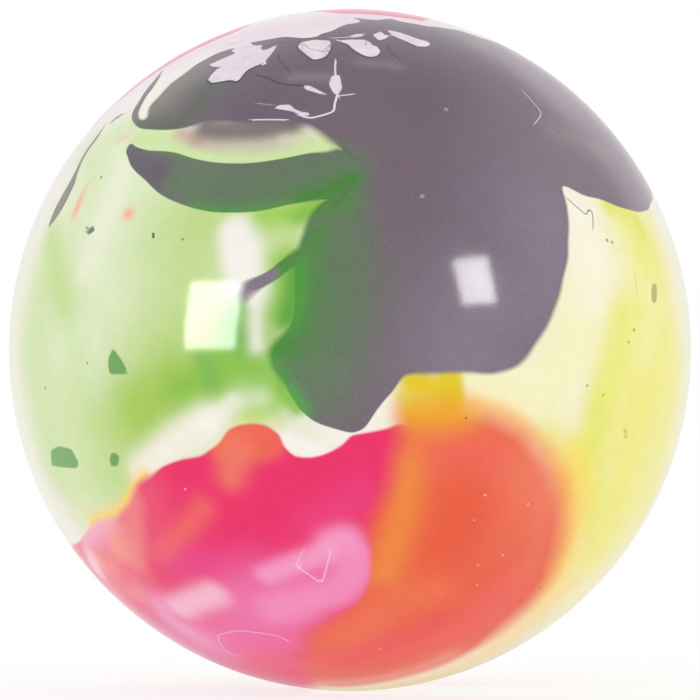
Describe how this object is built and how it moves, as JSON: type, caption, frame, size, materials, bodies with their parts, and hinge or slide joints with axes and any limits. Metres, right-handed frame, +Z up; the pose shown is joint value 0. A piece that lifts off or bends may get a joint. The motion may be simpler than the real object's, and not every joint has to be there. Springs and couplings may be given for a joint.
{
  "type": "field hockey ball",
  "caption": "Smooth, glossy field hockey ball: a cork core in two inner half cups, under a cover moulded from marbled PVC charges.",
  "frame": {"origin": "centre of the ball", "axes": "+Z up, away from the ground that the ball lies on; -Y towards the face that the picture shows; +X to the right of that face"},
  "size_m": [0.073, 0.073, 0.073],
  "materials": {
    "cork": "agglomerated cork, matt",
    "pvc_inner": "plain moulded PVC",
    "pvc_cream": "polished PVC",
    "pvc_grey": "polished PVC",
    "pvc_green": "polished PVC",
    "pvc_magenta": "polished PVC",
    "pvc_orange": "polished PVC",
    "pvc_lime": "polished PVC",
    "pvc_pink": "polished PVC"
  },
  "bodies": {
    "root": {"cork_core": "cork", "inner_cup_lower": "pvc_inner", "inner_cup_upper": "pvc_inner", "cover_body": "pvc_cream", "charge_grey": "pvc_grey", "charge_green": "pvc_green", "charge_magenta": "pvc_magenta", "charge_orange": "pvc_orange", "charge_lime": "pvc_lime", "charge_pink_crown": "pvc_pink", "charge_green_rear": "pvc_green", "charge_grey_rear": "pvc_grey", "charge_orange_rear": "pvc_orange"}
  },
  "joints": []
}
